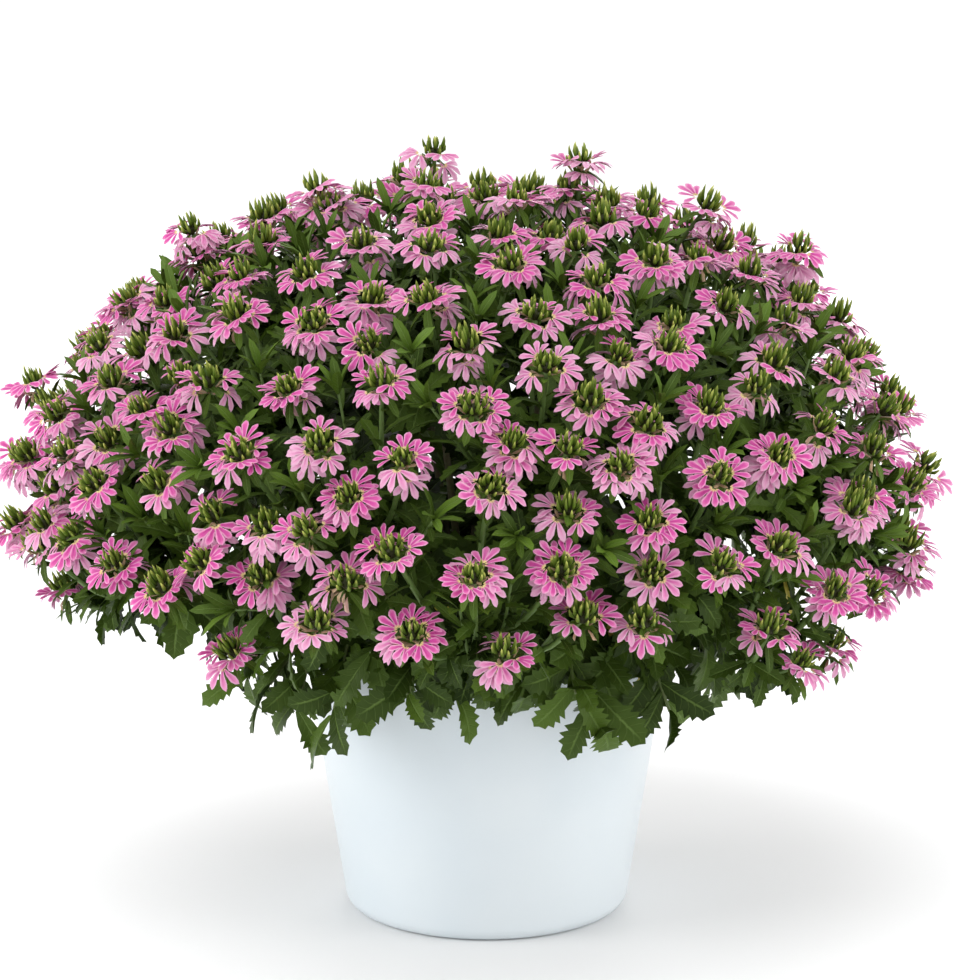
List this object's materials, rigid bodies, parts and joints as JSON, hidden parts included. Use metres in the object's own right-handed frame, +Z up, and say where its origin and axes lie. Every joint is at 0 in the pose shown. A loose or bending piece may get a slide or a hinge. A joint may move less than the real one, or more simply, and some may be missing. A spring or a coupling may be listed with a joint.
{
  "type": "potted fan flower",
  "caption": "Rounded mound of leafy shoots topped with pink fan-shaped flower whorls, growing in soil in a plain tapered white pot.",
  "frame": {"origin": "centre of the pot's flat underside", "axes": "+Z up out of the pot; the picture looks along +Y, so +X is to its right"},
  "size_m": [0.552, 0.5499, 0.4431],
  "materials": {
    "pot_plastic": "smooth satin white plastic with a cool tint",
    "potting_soil": "dark crumbly potting soil",
    "foliage_green": "living leaves, stems and buds, mid to dark green with a soft sheen",
    "petal_pink": "thin matt petals, mid pink with paler edges"
  },
  "bodies": {
    "root": {"pot": "pot_plastic", "soil": "potting_soil", "shoot_01": "foliage_green", "blooms_01": "petal_pink", "shoot_02": "foliage_green", "blooms_02": "petal_pink", "shoot_03": "foliage_green", "blooms_03": "petal_pink", "shoot_04": "foliage_green", "blooms_04": "petal_pink", "shoot_05": "foliage_green", "blooms_05": "petal_pink", "shoot_06": "foliage_green", "blooms_06": "petal_pink", "shoot_07": "foliage_green", "blooms_07": "petal_pink", "shoot_08": "foliage_green", "blooms_08": "petal_pink", "shoot_09": "foliage_green", "blooms_09": "petal_pink", "shoot_10": "foliage_green", "blooms_10": "petal_pink", "shoot_11": "foliage_green", "blooms_11": "petal_pink", "shoot_12": "foliage_green", "blooms_12": "petal_pink", "shoot_13": "foliage_green", "blooms_13": "petal_pink", "shoot_14": "foliage_green", "blooms_14": "petal_pink", "shoot_15": "foliage_green", "blooms_15": "petal_pink", "shoot_16": "foliage_green", "blooms_16": "petal_pink", "shoot_17": "foliage_green", "blooms_17": "petal_pink", "shoot_18": "foliage_green", "blooms_18": "petal_pink", "shoot_19": "foliage_green", "blooms_19": "petal_pink", "shoot_20": "foliage_green", "blooms_20": "petal_pink", "shoot_21": "foliage_green", "blooms_21": "petal_pink", "shoot_22": "foliage_green", "blooms_22": "petal_pink", "shoot_23": "foliage_green", "blooms_23": "petal_pink", "shoot_24": "foliage_green", "blooms_24": "petal_pink", "shoot_25": "foliage_green", "blooms_25": "petal_pink", "shoot_26": "foliage_green", "blooms_26": "petal_pink", "shoot_27": "foliage_green", "blooms_27": "petal_pink", "shoot_28": "foliage_green", "blooms_28": "petal_pink"}
  },
  "joints": []
}
